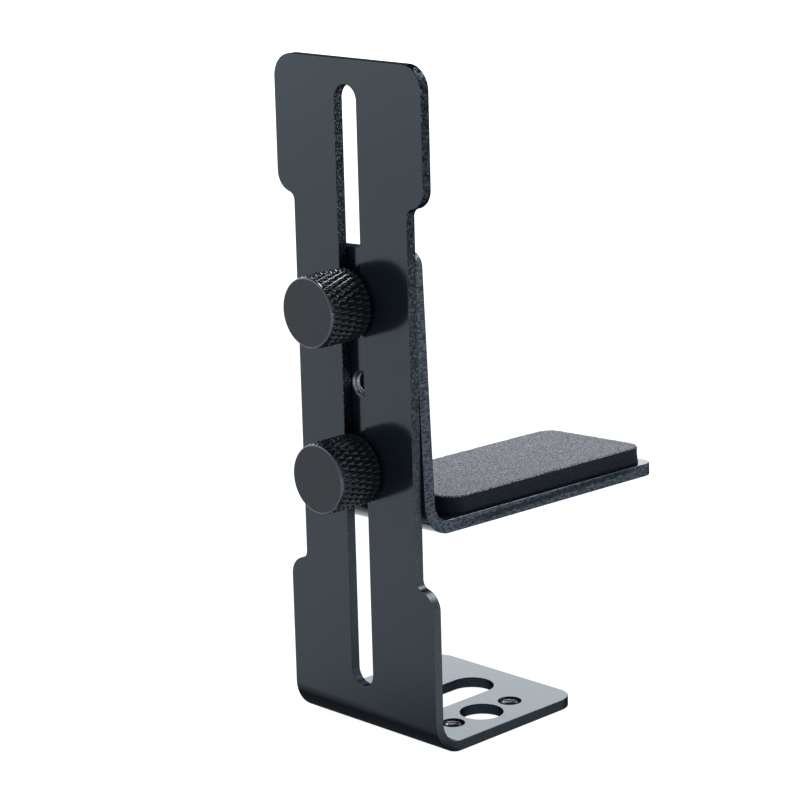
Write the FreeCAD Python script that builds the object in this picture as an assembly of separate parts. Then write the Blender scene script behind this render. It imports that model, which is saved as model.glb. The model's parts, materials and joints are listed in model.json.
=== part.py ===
import FreeCAD, Part

import math
import os

from FreeCAD import Vector

# Support bracket for a graphics card. A slotted upright with a foot and an
# L-shaped arm are folded from steel sheet. Two knurled thumbscrews reach
# through the upright's slot and clamp the arm behind it, and a foam pad on the
# arm's shelf carries the card.
# Lengths are in millimetres, angles in degrees. X runs across the bracket, +Y
# from the thumbscrews towards the free end of the shelf, and +Z up. The origin
# is the middle of the foot's slot, level with the foot's underside.

# Upright: 1.5 mm sheet with its coat of paint
plate_t = 1.65
plate_bend_r = 3.65
upright_h = 102.2
foot_depth = 31.0
strip_w = 23.4
shoulder_step = 3.4
crest_h = 17.45
base_h = 22.6
corner_r = 3.0
top_corner_r = 3.6
shoulder_fillet_r = 1.3
foot_corner_r = 3.4

# Slot of the upright, for the thumbscrews, a little to the left of its middle
slot_low_end = 7.9
slot_top_margin = 3.7
slot_play = 1.0
slot_x = -0.24

# Foot: one wide slot, and a clearance hole between two tapped holes
foot_slot_w = 7.0
foot_slot_start = 9.0
foot_slot_margin = 4.4
hole_row_x = 9.2
hole_row_margin = 15.2
clearance_hole_d = 6.6
foot_thread_d = 3.0
foot_thread_pitch = 12.5
thread_chamfer = 0.3

# Arm: 2 mm sheet, folded a little past square, so that its shelf droops
arm_t = 2.0
arm_w = 23.9
arm_bend_r = 2.8
arm_corner_r = 2.2
leg_above_screw = 8.1
shelf_below_screw = 9.55
shelf_reach = 51.1
shelf_droop = 1.3
screw_spacing = 24.6
arm_height = 54.3

# Foam pad, stuck on the shelf a little off its middle
pad_t = 2.8
pad_right_margin = 0.95
pad_left_margin = 2.5
pad_bend_margin = 1.7
pad_end_margin = 0.8
pad_corner_r = 2.8

# Thumbscrews
screw_d = 3.4
screw_reach = 6.0
screw_tip_chamfer = 0.4
head_d = 10.8
head_h = 7.9
collar_d = 8.8
collar_h = 0.3
head_chamfer = 0.4
knurl_depth = 0.32
knurl_count = 36
knurl_rows = 5

# Clearances between pieces that move
slide_gap = 0.05
seat_gap = 0.05
thread_gap = 0.05

# The screws have play in the slot, and the arm is clamped leaning by this
# share of it
lean_share = 0.95

slot_w = screw_d + slot_play
end_w = strip_w + 2 * shoulder_step
front_y = -(foot_slot_start + foot_depth - foot_slot_margin) / 2
leg_y = front_y + plate_t + slide_gap
lean = math.degrees(math.asin(lean_share * slot_play / screw_spacing))
arm_rise = shelf_below_screw + screw_spacing + leg_above_screw
arm_base_z = -screw_spacing / 2 - shelf_below_screw
past_through = 1.0


def line(start, end):
    """Straight edge."""
    return Part.LineSegment(start, end).toShape()


def arc(centre, radius, start, end):
    """Edge on a circle in the XZ plane, its angles in radians from +X."""
    def at(angle):
        return centre + Vector(radius * math.cos(angle), 0, radius * math.sin(angle))
    return Part.Arc(at(start), at((start + end) / 2), at(end)).toShape()


def closed_face(edges):
    """Face inside edges that are given in any order."""
    return Part.Face(Part.Wire(Part.__sortEdges__(edges)))


def mirrored(edges):
    """The edges and their mirror images across the bracket's middle plane."""
    return edges + [edge.mirror(Vector(), Vector(1, 0, 0)) for edge in edges]


def folded_strip(width, rise, run, t, inner_r, droop):
    """Leg, bend and shelf of a folded sheet.

    The leg's outer face is at y = 0 and the bend's lowest line at z = 0. The
    leg ends at z = rise and the shelf's underside at y = run.
    """
    outer_r = inner_r + t
    slope = math.radians(droop)
    turn = math.pi / 2 - slope
    left = -width / 2

    def on_bend(radius, angle):
        return Vector(left, outer_r - radius * math.cos(angle), outer_r - radius * math.sin(angle))

    def bend_edge(radius):
        return Part.Arc(on_bend(radius, 0), on_bend(radius, turn / 2), on_bend(radius, turn)).toShape()

    leg_top = [Vector(left, 0, rise), Vector(left, t, rise)]
    under = on_bend(outer_r, turn)
    over = on_bend(inner_r, turn)
    along = Vector(0, math.cos(slope), -math.sin(slope)) * ((run - under.y) / math.cos(slope))
    section = closed_face([
        line(leg_top[0], on_bend(outer_r, 0)),
        bend_edge(outer_r),
        line(under, under + along),
        line(under + along, over + along),
        line(over + along, over),
        bend_edge(inner_r),
        line(on_bend(inner_r, 0), leg_top[1]),
        line(leg_top[1], leg_top[0]),
    ])
    return section.extrude(Vector(width, 0, 0))


def tongue(width, length, radius):
    """Face in the XZ plane from z = 0 up to z = length, with its two top corners round."""
    half = width / 2
    side = [
        line(Vector(0, 0, 0), Vector(half, 0, 0)),
        line(Vector(half, 0, 0), Vector(half, 0, length - radius)),
        arc(Vector(half - radius, 0, length - radius), radius, 0, math.pi / 2),
        line(Vector(half - radius, 0, length), Vector(0, 0, length)),
    ]
    return closed_face(mirrored(side))


def trim_leg(blank, outline, depth):
    """Keeps what of the blank lies behind an outline in the XZ plane."""
    return blank.common(outline.extrude(Vector(0, depth, 0)))


def trim_shelf(blank, width, reach, radius, height):
    """Rounds the two corners at the shelf's free end."""
    plan = tongue(width, reach, radius).extrude(Vector(0, height, 0))
    plan.rotate(Vector(), Vector(1, 0, 0), -90)
    plan.translate(Vector(0, 0, height))
    return blank.common(plan.mirror(Vector(0, 0, height / 2), Vector(0, 0, 1)))


def long_hole(width, length, depth):
    """Slot with round ends in the XZ plane, centred on x = 0, from z = 0 up, cut along +Y."""
    half = width / 2
    side = [
        arc(Vector(0, 0, half), half, -math.pi / 2, 0),
        line(Vector(half, 0, half), Vector(half, 0, length - half)),
        arc(Vector(0, 0, length - half), half, 0, math.pi / 2),
    ]
    return closed_face(mirrored(side)).extrude(Vector(0, depth, 0))


def tapped_hole(diameter, depth):
    """Cutter along +Y from y = 0, with a chamfer at both mouths."""
    radius = diameter / 2
    wide = radius + thread_chamfer
    axis = Vector(0, 1, 0)
    cutter = Part.makeCylinder(radius, depth + 2 * past_through, Vector(0, -past_through, 0), axis)
    near = Part.makeCone(wide + past_through, radius, thread_chamfer + past_through,
                         Vector(0, -past_through, 0), axis)
    far = Part.makeCone(radius, wide + past_through, thread_chamfer + past_through,
                        Vector(0, depth - thread_chamfer, 0), axis)
    return cutter.fuse([near, far])


def upright_outline():
    """Front of the upright: a wide base and crest, joined by a narrower strip."""
    half = end_w / 2
    reach = corner_r + shoulder_fillet_r
    turn = math.acos(1 - shoulder_step / reach)
    side_x = half - corner_r
    low = Vector(side_x, 0, base_h)
    high = Vector(side_x, 0, upright_h - crest_h)
    top = Vector(half - top_corner_r, 0, upright_h - top_corner_r)
    low_fillet = low + Vector(reach * math.cos(turn), 0, reach * math.sin(turn))
    high_fillet = high + Vector(reach * math.cos(turn), 0, -reach * math.sin(turn))
    side = [
        line(Vector(0, 0, 0), Vector(half, 0, 0)),
        line(Vector(half, 0, 0), Vector(half, 0, base_h)),
        arc(low, corner_r, 0, turn),
        arc(low_fillet, shoulder_fillet_r, math.pi + turn, math.pi),
        line(Vector(strip_w / 2, 0, low_fillet.z), Vector(strip_w / 2, 0, high_fillet.z)),
        arc(high_fillet, shoulder_fillet_r, math.pi, math.pi - turn),
        arc(high, corner_r, -turn, 0),
        line(Vector(half, 0, upright_h - crest_h), Vector(half, 0, top.z)),
        arc(top, top_corner_r, 0, math.pi / 2),
        line(Vector(top.x, 0, upright_h), Vector(0, 0, upright_h)),
    ]
    return closed_face(mirrored(side))


def foot_cutter(shape, x, y):
    """Turns a cutter that runs along +Y so that it runs up through the foot at x, y."""
    shape.rotate(Vector(), Vector(1, 0, 0), 90)
    shape.translate(Vector(x, y, 0))
    return shape


def make_upright():
    """Slotted plate and foot, folded from one sheet."""
    blank = folded_strip(end_w, upright_h, foot_depth, plate_t, plate_bend_r, 0)
    shape = trim_leg(blank, upright_outline(), foot_depth)
    shape = trim_shelf(shape, end_w, foot_depth, foot_corner_r, upright_h)

    slot_length = upright_h - slot_top_margin - slot_low_end
    slot = long_hole(slot_w, slot_length, plate_t + 2 * past_through)
    slot.translate(Vector(slot_x, -past_through, slot_low_end))

    foot_slot_length = foot_depth - foot_slot_margin - foot_slot_start
    through = plate_t + 2 * past_through
    foot_slot = long_hole(foot_slot_w, foot_slot_length, through)
    foot_slot.rotate(Vector(), Vector(1, 0, 0), -90)
    foot_slot.translate(Vector(0, foot_slot_start, plate_t + past_through))

    row_y = foot_depth - hole_row_margin
    clearance = Part.makeCylinder(clearance_hole_d / 2, through, Vector(hole_row_x, row_y, -past_through))
    shape = shape.cut([slot, foot_slot, clearance])
    for side in (-1, 1):
        hole = foot_cutter(tapped_hole(foot_thread_d, plate_t), hole_row_x, row_y + side * foot_thread_pitch / 2)
        shape = shape.cut(hole)
    shape.translate(Vector(0, front_y, 0))
    return shape


def place_on_arm(shape):
    """Moves a shape from the arm's own frame, whose origin is its middle hole, to its place."""
    shape.rotate(Vector(), Vector(0, 1, 0), -lean)
    shape.translate(Vector(slot_x, leg_y, arm_height))
    return shape


def make_arm():
    """Leg and shelf, folded from one sheet, with three tapped holes in the leg."""
    shape = folded_strip(arm_w, arm_rise, shelf_reach, arm_t, arm_bend_r, shelf_droop)
    drop = shelf_reach * math.tan(math.radians(shelf_droop))
    shape.translate(Vector(0, 0, drop))
    shape = trim_leg(shape, tongue(arm_w, arm_rise + drop, arm_corner_r), shelf_reach + arm_t)
    shape = trim_shelf(shape, arm_w, shelf_reach, arm_corner_r, arm_rise + drop)
    shape.translate(Vector(0, 0, arm_base_z - drop))
    for row in (-1, 0, 1):
        hole = tapped_hole(screw_d + 2 * thread_gap, arm_t)
        hole.translate(Vector(0, 0, row * screw_spacing / 2))
        shape = shape.cut(hole)
    return place_on_arm(shape)


def make_pad():
    """Foam block with round corners, lying on the shelf."""
    width = arm_w - pad_right_margin - pad_left_margin
    bend_end = arm_t + arm_bend_r
    length = shelf_reach - pad_end_margin - bend_end - pad_bend_margin
    half_x, half_y = width / 2 - pad_corner_r, length / 2 - pad_corner_r
    plan = Part.makePlane(2 * half_x, 2 * half_y, Vector(-half_x, -half_y, 0)).OuterWire
    plan = Part.Face(plan.makeOffset2D(pad_corner_r))
    shape = plan.extrude(Vector(0, 0, pad_t))

    slope = math.radians(shelf_droop)
    middle_y = bend_end + pad_bend_margin + length / 2
    top_at_bend = arm_base_z + arm_bend_r + arm_t - arm_bend_r * math.cos(slope)
    tangent_y = bend_end - arm_bend_r * math.sin(slope)
    middle_z = top_at_bend - (middle_y - tangent_y) * math.tan(slope)
    shape.rotate(Vector(), Vector(1, 0, 0), -shelf_droop)
    shape.translate(Vector((pad_left_margin - pad_right_margin) / 2, middle_y, middle_z))
    return place_on_arm(shape)


def knurled_head():
    """Round head along Y, up to y = 0 and head_h long, covered in four-sided points.

    The grooves cross on a grid of rings. On each ring a point of the knurl
    stands between two crossings, and the next ring is turned by one place.
    """
    places = 2 * knurl_count
    tip_r = head_d / 2
    root_r = tip_r - knurl_depth
    face_r = root_r - head_chamfer / 4
    band = head_h - 2 * head_chamfer

    def spot(radius, place, y):
        angle = math.pi * place / knurl_count
        return Vector(radius * math.cos(angle), y, radius * math.sin(angle))

    def ring(row):
        y = -head_h + head_chamfer + band * row / knurl_rows
        return [spot(tip_r if (place + row) % 2 else root_r, place, y) for place in range(places)]

    def end_ring(y):
        return [spot(face_r, place, y) for place in range(places)]

    def triangle(a, b, c):
        return Part.Face(Part.makePolygon([a, b, c, a]))

    rings = [end_ring(-head_h)] + [ring(row) for row in range(knurl_rows + 1)] + [end_ring(0)]
    faces = [Part.Face(Part.makePolygon(end + end[:1])) for end in (rings[0], rings[-1])]
    for level in range(len(rings) - 1):
        near, far = rings[level], rings[level + 1]
        for place in range(places):
            after = (place + 1) % places
            if (place + level) % 2:
                faces.append(triangle(near[place], near[after], far[after]))
                faces.append(triangle(near[place], far[after], far[place]))
            else:
                faces.append(triangle(near[place], near[after], far[place]))
                faces.append(triangle(near[after], far[after], far[place]))
    shell = Part.makeShell(faces)
    shell.sewShape()
    return Part.makeSolid(shell)


def make_thumbscrew(row):
    """Head and shank in one piece, in the arm's upper hole (row 1) or lower hole (row -1)."""
    radius = screw_d / 2
    root_y = -collar_h - head_h / 2
    axis = Vector(0, 1, 0)
    head = knurled_head()
    head.translate(Vector(0, -collar_h, 0))
    collar = Part.makeCylinder(collar_d / 2, -root_y, Vector(0, root_y, 0), axis)
    shank = Part.makeCylinder(radius, screw_reach - screw_tip_chamfer - root_y, Vector(0, root_y, 0), axis)
    tip = Part.makeCone(radius, radius - screw_tip_chamfer, screw_tip_chamfer,
                        Vector(0, screw_reach - screw_tip_chamfer, 0), axis)
    shape = head.fuse([collar, shank, tip]).removeSplitter()
    reach = row * screw_spacing / 2
    tilt = math.radians(lean)
    shape.translate(Vector(
        slot_x - reach * math.sin(tilt),
        front_y - seat_gap,
        arm_height + reach * math.cos(tilt),
    ))
    return shape


os.makedirs("parts", exist_ok=True)
pieces = {
    "upright_bracket": make_upright(),
    "support_arm": make_arm(),
    "foam_pad": make_pad(),
    "upper_thumbscrew": make_thumbscrew(1),
    "lower_thumbscrew": make_thumbscrew(-1),
}
for name, shape in pieces.items():
    shape.exportStep("parts/" + name + ".step")
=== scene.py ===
import json
import logging
import math
from collections.abc import Callable, Sequence
from dataclasses import dataclass, field
from enum import Enum
from typing import Any

import bmesh
import bpy
from mathutils import Euler, Matrix, Vector, noise
from mathutils.geometry import delaunay_2d_cdt


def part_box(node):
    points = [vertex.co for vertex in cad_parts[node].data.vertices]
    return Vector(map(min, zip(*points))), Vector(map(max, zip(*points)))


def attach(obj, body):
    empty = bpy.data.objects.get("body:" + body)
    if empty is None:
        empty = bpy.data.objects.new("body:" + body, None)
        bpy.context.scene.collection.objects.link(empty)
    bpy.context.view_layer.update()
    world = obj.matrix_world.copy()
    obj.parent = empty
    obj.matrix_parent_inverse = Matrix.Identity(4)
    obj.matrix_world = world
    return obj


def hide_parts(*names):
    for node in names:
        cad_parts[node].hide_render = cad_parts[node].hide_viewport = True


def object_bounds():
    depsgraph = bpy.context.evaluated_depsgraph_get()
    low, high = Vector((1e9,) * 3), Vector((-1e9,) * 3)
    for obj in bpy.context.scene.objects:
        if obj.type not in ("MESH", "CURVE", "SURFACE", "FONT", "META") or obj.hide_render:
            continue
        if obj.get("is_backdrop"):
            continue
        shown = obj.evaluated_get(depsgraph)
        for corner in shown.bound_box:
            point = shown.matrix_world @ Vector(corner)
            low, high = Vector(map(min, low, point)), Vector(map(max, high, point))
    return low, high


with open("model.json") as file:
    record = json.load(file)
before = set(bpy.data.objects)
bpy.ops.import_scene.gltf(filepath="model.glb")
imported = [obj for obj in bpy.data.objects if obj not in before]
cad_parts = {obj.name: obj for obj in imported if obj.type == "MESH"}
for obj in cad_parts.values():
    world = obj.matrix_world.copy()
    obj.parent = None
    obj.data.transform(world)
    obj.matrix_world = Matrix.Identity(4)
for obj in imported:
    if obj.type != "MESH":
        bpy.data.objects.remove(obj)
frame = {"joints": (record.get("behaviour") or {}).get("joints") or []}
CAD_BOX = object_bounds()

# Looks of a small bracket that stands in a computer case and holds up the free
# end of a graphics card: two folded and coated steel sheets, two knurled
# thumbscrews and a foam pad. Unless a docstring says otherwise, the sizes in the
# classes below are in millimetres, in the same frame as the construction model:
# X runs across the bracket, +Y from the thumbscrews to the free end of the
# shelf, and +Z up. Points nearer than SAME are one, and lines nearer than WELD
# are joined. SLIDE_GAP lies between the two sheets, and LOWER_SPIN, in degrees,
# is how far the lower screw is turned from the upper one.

MM = 0.001
TURN = 2 * math.pi
SAME = 1e-5
WELD = 1e-6
SLIDE_GAP = 0.05
LOWER_SPIN = 3.2
LOG = logging.getLogger("bracket")

Colour = tuple[float, float, float]
Place = tuple[float, float, float]
Pair = tuple[float, float]


class Body(Enum):
    """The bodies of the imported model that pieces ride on."""

    UPRIGHT = "upright"
    ARM = "arm"
    UPPER_SCREW = "upper_screw"
    LOWER_SCREW = "lower_screw"


class Slot(Enum):
    """The record's material slots."""

    COAT = "powder_coat"
    FOAM = "foam"
    ANODISED = "anodised"


class Wave(Enum):
    """How much small detail a noise has."""

    SOFT = 2.0
    FINE = 6.0


# Shading, written as expressions on sockets


class Value:
    """An output of a shader node that can be used in arithmetic."""

    def __init__(self, graph: "Graph", socket: bpy.types.NodeSocket) -> None:
        """Wraps a socket.

        Args:
            graph: the graph that the socket's node is in.
            socket: the node's output.
        """
        self.graph = graph
        self.socket = socket

    def __add__(self, other: "Value | float") -> "Value":
        """This plus other."""
        return self.graph.math("ADD", self, other)

    def __mul__(self, other: "Value | float") -> "Value":
        """This times other."""
        return self.graph.math("MULTIPLY", self, other)

    def __sub__(self, other: "Value | float") -> "Value":
        """This minus other."""
        return self.graph.math("SUBTRACT", self, other)

    def __rsub__(self, other: float) -> "Value":
        """A number minus this."""
        return self.graph.math("SUBTRACT", other, self)

    __radd__ = __add__
    __rmul__ = __mul__


Input = Value | float | Sequence[float]


class Graph:
    """The node graph of one material, or of the world."""

    NOISE_ROUGHNESS = 0.55

    def __init__(self, tree: bpy.types.NodeTree) -> None:
        """Empties a node tree and readies it.

        Args:
            tree: the tree to build in.
        """
        self.tree = tree
        tree.nodes.clear()
        self._place: Value | None = None

    def node(self, kind: str, settings: dict[str, Any] | None = None,
             sockets: dict[str | int, Input] | None = None) -> bpy.types.Node:
        """Adds a node.

        Args:
            kind: the node's type.
            settings: its properties, set before its sockets.
            sockets: values or links of its inputs, by name or number.

        Returns:
            The new node.
        """
        made = self.tree.nodes.new(kind)
        for name, setting in (settings or {}).items():
            if name == "stops":
                self._set_stops(made.color_ramp, setting)
            else:
                setattr(made, name, setting)
        for name, value in (sockets or {}).items():
            if isinstance(value, Value):
                self.tree.links.new(value.socket, made.inputs[name])
            else:
                made.inputs[name].default_value = value
        return made

    @staticmethod
    def _set_stops(ramp: bpy.types.ColorRamp, stops: Sequence[Pair]) -> None:
        """Gives a ramp its grey stops.

        Args:
            ramp: the ramp.
            stops: pairs of place and brightness.
        """
        while len(ramp.elements) > len(stops):
            ramp.elements.remove(ramp.elements[-1])
        while len(ramp.elements) < len(stops):
            ramp.elements.new(1.0)
        for element, (place, grey) in zip(ramp.elements, stops, strict=True):
            element.position = place
            element.color = (grey, grey, grey, 1.0)

    def value(self, kind: str, output: str | int, settings: dict[str, Any] | None = None,
              sockets: dict[str | int, Input] | None = None) -> Value:
        """Adds a node and wraps one of its outputs.

        Args:
            kind: the node's type.
            output: the output's name or number.
            settings: the node's properties.
            sockets: values or links of its inputs.

        Returns:
            The wrapped output.
        """
        return Value(self, self.node(kind, settings, sockets).outputs[output])

    def math(self, operation: str, first: Value | float, second: Value | float) -> Value:
        """Adds a Math node for one step of an expression."""
        return self.value("ShaderNodeMath", 0, {"operation": operation}, {0: first, 1: second})

    def place(self) -> Value:
        """The point's place in the piece's own frame.

        Returns:
            The place, in metres.
        """
        if self._place is None:
            self._place = self.value("ShaderNodeTexCoord", "Object")
        return self._place

    def axis(self, number: int) -> Value:
        """One coordinate of the place, in metres: 0 for x, 1 for y and 2 for z."""
        return self.value("ShaderNodeSeparateXYZ", number, None, {0: self.place()})

    def noise(self, grain: float, wave: Wave = Wave.SOFT, stretch: Sequence[float] = (1, 1, 1)) -> Value:
        """Soft noise from 0 to 1.

        Args:
            grain: the size of its blotches, in millimetres.
            wave: how much small detail it has.
            stretch: how many times shorter the blotches are along each axis.

        Returns:
            The noise.
        """
        place = self.value("ShaderNodeVectorMath", 0, {"operation": "MULTIPLY"},
                           {0: self.place(), 1: tuple(s / (grain * MM) for s in stretch)})
        return self.value("ShaderNodeTexNoise", 0, None, {
            "Vector": place, "Scale": 1.0, "Detail": wave.value, "Roughness": self.NOISE_ROUGHNESS,
        })

    def cells(self, grain: float) -> Value:
        """Distance from the middle of round cells, in cells.

        Args:
            grain: the cells' size, in millimetres.

        Returns:
            The distance, from 0 in a cell's middle.
        """
        return self.value("ShaderNodeTexVoronoi", "Distance", None,
                          {"Vector": self.place(), "Scale": 1 / (grain * MM)})

    def ramp(self, value: Value, *stops: Pair) -> Value:
        """Reshapes a value by a ramp.

        Args:
            value: what to reshape.
            stops: pairs of place and result.

        Returns:
            The reshaped value.
        """
        return self.value("ShaderNodeValToRGB", 0, {"stops": stops}, {0: value})

    def blend(self, share: Value, first: Input, second: Input) -> Value:
        """Mixes two colours.

        Args:
            share: how much of the second there is.
            first: colour where the share is 0.
            second: colour where the share is 1.

        Returns:
            The mixed colour.
        """
        return self.value("ShaderNodeMix", 2, {"data_type": "RGBA"},
                          {0: share, 6: self._rgba(first), 7: self._rgba(second)})

    @staticmethod
    def _rgba(colour: Input) -> Input:
        """The colour with its alpha, where it is plain numbers."""
        return colour if isinstance(colour, Value) else (*colour, 1.0)

    def bump(self, height: Value, depth: float, under: Value | None = None) -> Value:
        """Turns a height into a shading direction.

        Args:
            height: height from 0 to 1.
            depth: how high 1 is, in millimetres.
            under: a coarser bump that this one lies on.

        Returns:
            The shading direction.
        """
        sockets: dict[str | int, Input] = {"Height": height, "Distance": depth * MM, "Strength": 1.0}
        if under is not None:
            sockets["Normal"] = under
        return self.value("ShaderNodeBump", 0, None, sockets)


def scaled(colour: Colour, share: float) -> Colour:
    """A colour made brighter or darker."""
    return tuple(share * part for part in colour)


# Finishes


@dataclass(frozen=True)
class Finish:
    """One of the bracket's looks, which becomes a material of one Principled shader."""

    name: str

    def sockets(self, g: Graph) -> dict[str, Input]:
        """Works out the shader's inputs.

        Args:
            g: the material's graph.

        Returns:
            The inputs by name.
        """
        raise NotImplementedError

    def material(self) -> bpy.types.Material:
        """Makes the finish's material.

        Returns:
            The material.
        """
        material = bpy.data.materials.new(self.name)
        material.use_nodes = True
        graph = Graph(material.node_tree)
        shader = graph.value("ShaderNodeBsdfPrincipled", 0, None, self.sockets(graph))
        graph.node("ShaderNodeOutputMaterial", None, {"Surface": shader})
        return material


@dataclass(frozen=True)
class SatinCoat(Finish):
    """Smooth black powder coat on the faces of a sheet. Each pair is a grain and a depth."""

    name: str = "satin_coat"
    dark: Colour = (0.0027, 0.0038, 0.0060)
    light: Colour = (0.0046, 0.0064, 0.0104)
    cloud_grain: float = 6.0
    roughness: float = 0.12
    spread: float = 0.03
    spread_grain: float = 0.5
    gloss: float = 0.47
    tint: Colour = (0.72, 0.90, 1.0)
    peel: Pair = (1.3, 0.0022)
    dust: Pair = (0.16, 0.0004)

    def sockets(self, g: Graph) -> dict[str, Input]:
        """Works out the shader's inputs.

        Args:
            g: the material's graph.

        Returns:
            The inputs by name.
        """
        (peel_grain, peel_depth), (dust_grain, dust_depth) = self.peel, self.dust
        cloud = g.noise(self.cloud_grain)
        peel = g.bump(g.noise(peel_grain), peel_depth)
        return {
            "Base Color": g.blend(cloud, self.dark, self.light),
            "Roughness": self.roughness + self.spread * g.noise(self.spread_grain, Wave.FINE),
            "Specular IOR Level": self.gloss,
            "Specular Tint": (*self.tint, 1.0),
            "Normal": g.bump(g.noise(dust_grain), dust_depth, peel),
        }


@dataclass(frozen=True)
class PaintedShadeUnderFoam:
    """Ragged dark band painted along the top of the shelf's edge, just under the foam pad: painted shade.

    The line is level and the shelf droops, so the line climbs across the edge.
    Its level, start, width and length are in metres, and its two fades are
    pairs of a share of the width or length and the darkness there.
    """

    upward: Place = (-0.0386, 0.0012, 0.9993)
    level: float = 0.0332
    start: float = -0.016
    width: float = 0.002
    length: float = 0.05
    across: tuple[Pair, ...] = ((0.25, 0.0), (0.40, 1.0), (0.60, 1.0), (0.78, 0.0))
    along: tuple[Pair, ...] = ((0.10, 0.0), (0.25, 1.0), (0.86, 1.0), (0.98, 0.0))
    grain: float = 0.45
    stretch: Place = (1, 0.6, 1)
    raggedness: float = 0.75
    strength: float = 0.72
    darkness: float = 0.5

    def mask(self, g: Graph) -> Value:
        """How much of the line there is at each point.

        Args:
            g: the material's graph.

        Returns:
            The share, from 0 to the line's strength.
        """
        height = g.value("ShaderNodeVectorMath", "Value", {"operation": "DOT_PRODUCT"},
                         {0: g.place(), 1: self.upward})
        ragged = (g.noise(self.grain, Wave.FINE, self.stretch) - 0.5) * self.raggedness
        across = g.ramp((height - self.level) * (1 / self.width) + ragged + 0.5, *self.across)
        along = g.ramp((g.axis(1) - self.start) * (1 / self.length), *self.along)
        return across * along * self.strength


@dataclass(frozen=True)
class CutEdge(Finish):
    """Coat over a sheared edge, whose ragged grain catches the light in specks.

    Heights are shares of the span, which is in metres. The grain shows less near
    the foot: calm is how much of it is missing there, and calm_fade is how that
    fades with the height. The light coat's share changes over the two heights
    of foot, and again over those of crest.
    """

    dark: Colour
    light: Colour
    speck: Colour
    grain: float
    stretch: Place
    depth: float
    contrast: Pair = (0.42, 0.60)
    sparks: Pair = (0.60, 0.68)
    roughness: float = 0.34
    grazing: Colour = (0.10, 0.12, 0.14)
    calm: float = 0.0
    share: float = 0.8
    foot_share: float = 0.8
    crest_share: float = 1.0
    shade_under_foam: PaintedShadeUnderFoam | None = None
    span: float = 0.1
    calm_fade: tuple[Pair, ...] = ((0.0, 1.0), (0.3, 0.7), (0.5, 0.25), (0.9, 0.0))
    foot: Pair = (0.02, 0.06)
    crest: Pair = (0.68, 0.82)
    speck_grain: float = 0.20
    spread: float = 0.2

    def sockets(self, g: Graph) -> dict[str, Input]:
        """Works out the shader's inputs.

        Args:
            g: the material's graph.

        Returns:
            The inputs by name.
        """
        (low, high), (few, many) = self.contrast, self.sparks
        height = g.axis(2) * (1 / self.span)
        raised = g.ramp(height, *((place, 1 - part * self.calm) for place, part in self.calm_fade))
        share = g.ramp(height, (self.foot[0], self.foot_share), (self.foot[1], self.share))
        shown = g.ramp(height, (self.crest[0], 1.0), (self.crest[1], self.crest_share))
        rough = g.noise(self.grain, Wave.FINE, self.stretch)
        specks = g.ramp(g.noise(self.speck_grain, Wave.FINE), (few, 0.0), (many, 1.0)) * raised
        worn = ((g.ramp(rough, (low, 0.0), (high, 1.0)) - share) * raised + share) * shown
        colour = g.blend(specks, g.blend(worn, self.dark, self.light), self.speck)
        # Painted shade: a ragged dark band along the top of the shelf's edge, under the foam pad.
        if self.shade_under_foam:
            colour = g.blend(self.shade_under_foam.mask(g), colour, scaled(self.dark, self.shade_under_foam.darkness))
        return {
            "Base Color": colour,
            "Metallic": 1.0,
            "Roughness": self.roughness + self.spread * rough,
            "Specular Tint": (*self.grazing, 1.0),
            "Normal": g.bump(rough, self.depth),
        }


@dataclass(frozen=True)
class Foam(Finish):
    """Dark closed-cell foam, either its split top face or a knife-cut side; the sides' far darker colours are
    painted shade.

    Its light cell walls show where the weighted sum of pores and fluff passes
    from the first wall level to the second.
    """

    dark: Colour
    light: Colour
    grain: float = 0.26
    gloss: float = 0.35
    fuzz: float = 0.25
    depth: float = 0.10
    fluff_size: float = 0.8
    weights: Pair = (0.6, 0.8)
    walls: Pair = (0.58, 0.79)
    roughness: float = 0.85
    spread: float = 0.1
    fuzz_roughness: float = 0.5

    def sockets(self, g: Graph) -> dict[str, Input]:
        """Works out the shader's inputs.

        Args:
            g: the material's graph.

        Returns:
            The inputs by name.
        """
        pores = g.cells(self.grain)
        fluff = g.noise(self.grain * self.fluff_size, Wave.FINE)
        both = pores * self.weights[0] + fluff * self.weights[1]
        walls = g.ramp(both, (self.walls[0], 0.0), (self.walls[1], 1.0))
        return {
            "Base Color": g.blend(walls, self.dark, self.light),
            "Roughness": self.roughness + self.spread * fluff,
            "Specular IOR Level": self.gloss,
            "Sheen Weight": self.fuzz,
            "Sheen Roughness": self.fuzz_roughness,
            "Normal": g.bump(pores + fluff, self.depth),
        }


@dataclass(frozen=True)
class Anodised(Finish):
    """Black anodised aluminium, dull on turned faces and sharper on a knurl."""

    colour: Colour = (0.0035, 0.0045, 0.0060)
    roughness: float = 0.24
    grain: float = 0.16
    depth: float = 0.0008
    gloss: float = 0.34
    spread: float = 0.08
    tint: Colour = (0.80, 0.91, 1.0)
    wear_grain: float = 1.7
    wear: Pair = (0.35, 0.8)
    wear_light: float = 1.7

    def sockets(self, g: Graph) -> dict[str, Input]:
        """Works out the shader's inputs.

        Args:
            g: the material's graph.

        Returns:
            The inputs by name.
        """
        grain = g.noise(self.grain, Wave.FINE)
        wear = g.ramp(g.noise(self.wear_grain), (self.wear[0], 0.0), (self.wear[1], 1.0))
        return {
            "Base Color": g.blend(wear, self.colour, scaled(self.colour, self.wear_light)),
            "Roughness": self.roughness + self.spread * grain,
            "Specular IOR Level": self.gloss,
            "Specular Tint": (*self.tint, 1.0),
            "Normal": g.bump(grain, self.depth),
        }


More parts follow.
